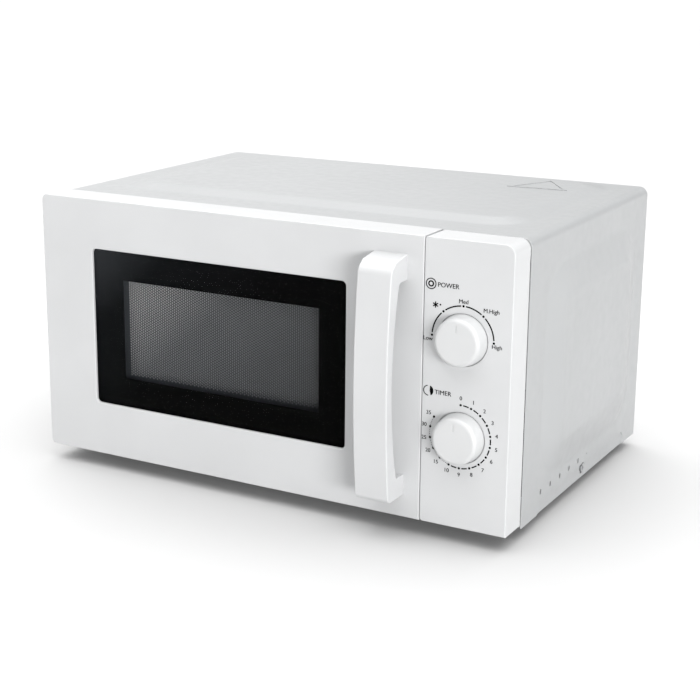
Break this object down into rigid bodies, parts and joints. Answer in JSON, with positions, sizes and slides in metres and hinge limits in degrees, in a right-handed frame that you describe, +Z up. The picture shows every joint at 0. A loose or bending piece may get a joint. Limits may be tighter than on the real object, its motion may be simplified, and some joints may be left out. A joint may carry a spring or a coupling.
{
  "type": "microwave oven",
  "caption": "Compact countertop microwave oven with a hinged glazed door, bow handle, two turning dials, cavity with glass turntable, and its electrical parts inside.",
  "frame": {"origin": "on the floor, below the middle of the whole oven", "axes": "+Z up, the door faces -Y, +X towards the control side"},
  "size_m": [0.453, 0.3365, 0.2445],
  "materials": {
    "case_enamel": "satin powder coat",
    "front_plastic": "satin gloss moulding",
    "knob_plastic": "satin gloss moulding",
    "window_plastic": "clear, gloss",
    "black_print": "gloss ink",
    "screen_steel": "dark enamel",
    "dark_plastic": "fine texture",
    "film": "clear film",
    "cavity_enamel": "speckled grey enamel",
    "zinc_steel": "zinc plated",
    "white_nylon": "moulded",
    "foot_rubber": "matt",
    "gland_plastic": "moulded",
    "tray_glass": "clear, gloss",
    "steel_bright": "bright",
    "core_steel": "varnished laminations",
    "copper_wire": "enamelled copper",
    "aluminium": "rolled",
    "mica": "flaky mica",
    "board": "phenolic board",
    "black_moulding": "moulded",
    "lamp_glass": "clear"
  },
  "bodies": {
    "root": {"outer_case": "case_enamel", "base_plate": "zinc_steel", "front_plate": "cavity_enamel", "rear_panel": "zinc_steel", "case_screws": "zinc_steel", "feet": "foot_rubber", "cord_gland": "gland_plastic", "cavity_floor": "cavity_enamel", "cavity_ceiling": "cavity_enamel", "cavity_left_wall": "cavity_enamel", "cavity_right_wall": "cavity_enamel", "cavity_rear_wall": "cavity_enamel", "mica_cover": "mica", "control_panel": "front_plastic", "timer_unit": "white_nylon", "timer_bell": "steel_bright", "turntable_motor": "zinc_steel", "upper_hinge": "zinc_steel", "lower_hinge": "zinc_steel", "interlock_bracket": "white_nylon", "interlock_switches": "black_moulding", "transformer_core": "core_steel", "primary_winding": "copper_wire", "secondary_winding": "copper_wire", "capacitor": "aluminium", "diode": "black_moulding", "waveguide": "zinc_steel", "magnetron_yoke": "zinc_steel", "magnetron_tube": "aluminium", "fan_shroud": "white_nylon", "fan_motor": "core_steel", "cavity_lamp": "lamp_glass", "lamp_socket": "white_nylon", "filter_board": "board", "thermostat": "black_moulding"},
    "door": {"door_frame": "front_plastic", "door_window": "window_plastic", "window_mask": "black_print", "door_screen": "screen_steel", "door_inner_panel": "cavity_enamel", "hinge_bushes": "white_nylon", "choke_cover": "dark_plastic", "inner_film": "film", "door_handle": "front_plastic", "handle_screws": "zinc_steel", "latch_spring": "steel_bright"},
    "latch": {"door_latch": "white_nylon"},
    "lever": {"interlock_lever": "white_nylon"},
    "power_dial": {"power_knob": "knob_plastic", "power_shaft": "white_nylon"},
    "timer_dial": {"timer_knob": "knob_plastic", "timer_shaft": "white_nylon"},
    "turntable": {"turntable_shaft": "steel_bright", "drive_coupler": "white_nylon"},
    "tray": {"glass_tray": "tray_glass"},
    "ring": {"roller_ring": "white_nylon"},
    "wheel_1": {"roller_1": "white_nylon"},
    "wheel_2": {"roller_2": "white_nylon"},
    "wheel_3": {"roller_3": "white_nylon"},
    "fan": {"fan_blade": "black_moulding"}
  },
  "joints": [
    {"name": "door_hinge", "type": "hinge", "parent": "root", "child": "door", "pos_m": [-0.208, -0.11735, 0.1272], "axis": [0, 0, -1], "range_deg": [0, 90]},
    {"name": "latch_slide", "type": "slide", "parent": "door", "child": "latch", "axis": [0, 0, 1], "range_m": [0, 0.004], "stiffness_N_per_m": 300, "springref_m": -0.004, "deforming": ["latch_spring"]},
    {"name": "lever_pivot", "type": "hinge", "parent": "root", "child": "lever", "pos_m": [0.1265, -0.072, 0.096], "axis": [1, 0, 0], "range_deg": [0, 8], "stiffness_Nm_per_rad": 0.02, "springref_deg": -11.46},
    {"name": "power_knob_turn", "type": "hinge", "parent": "root", "child": "power_dial", "pos_m": [0.1802, -0.13675, 0.1646], "axis": [0, 1, 0], "range_deg": [-90, 90]},
    {"name": "timer_knob_turn", "type": "hinge", "parent": "root", "child": "timer_dial", "pos_m": [0.1802, -0.13675, 0.0874], "axis": [0, 1, 0], "range_deg": [0, 300]},
    {"name": "turntable_spin", "type": "hinge", "parent": "root", "child": "turntable", "pos_m": [-0.042, 0.02725, 0.0413], "axis": [0, 0, 1], "continuous": true},
    {"name": "tray_lift", "type": "slide", "parent": "turntable", "child": "tray", "axis": [0, 0, 1], "range_m": [0, 0.06]},
    {"name": "ring_spin", "type": "hinge", "parent": "root", "child": "ring", "pos_m": [-0.042, 0.02725, 0.0413], "axis": [0, 0, 1], "continuous": true},
    {"name": "wheel_1_spin", "type": "hinge", "parent": "ring", "child": "wheel_1", "pos_m": [0.03421, 0.07125, 0.0413], "axis": [0.866, 0.5, 0], "continuous": true},
    {"name": "wheel_2_spin", "type": "hinge", "parent": "ring", "child": "wheel_2", "pos_m": [-0.11821, 0.07125, 0.0413], "axis": [-0.866, 0.5, 0], "continuous": true},
    {"name": "wheel_3_spin", "type": "hinge", "parent": "ring", "child": "wheel_3", "pos_m": [-0.042, -0.06075, 0.0413], "axis": [0, -1, 0], "continuous": true},
    {"name": "fan_spin", "type": "hinge", "parent": "root", "child": "fan", "pos_m": [0.164, 0.125, 0.15], "axis": [0, 1, 0], "continuous": true}
  ],
  "couplings": [
    {"joint": "ring_spin", "follows": "turntable_spin", "ratio": 0.5},
    {"joint": "wheel_1_spin", "follows": "turntable_spin", "ratio": -4.8889},
    {"joint": "wheel_2_spin", "follows": "turntable_spin", "ratio": -4.8889},
    {"joint": "wheel_3_spin", "follows": "turntable_spin", "ratio": -4.8889}
  ]
}
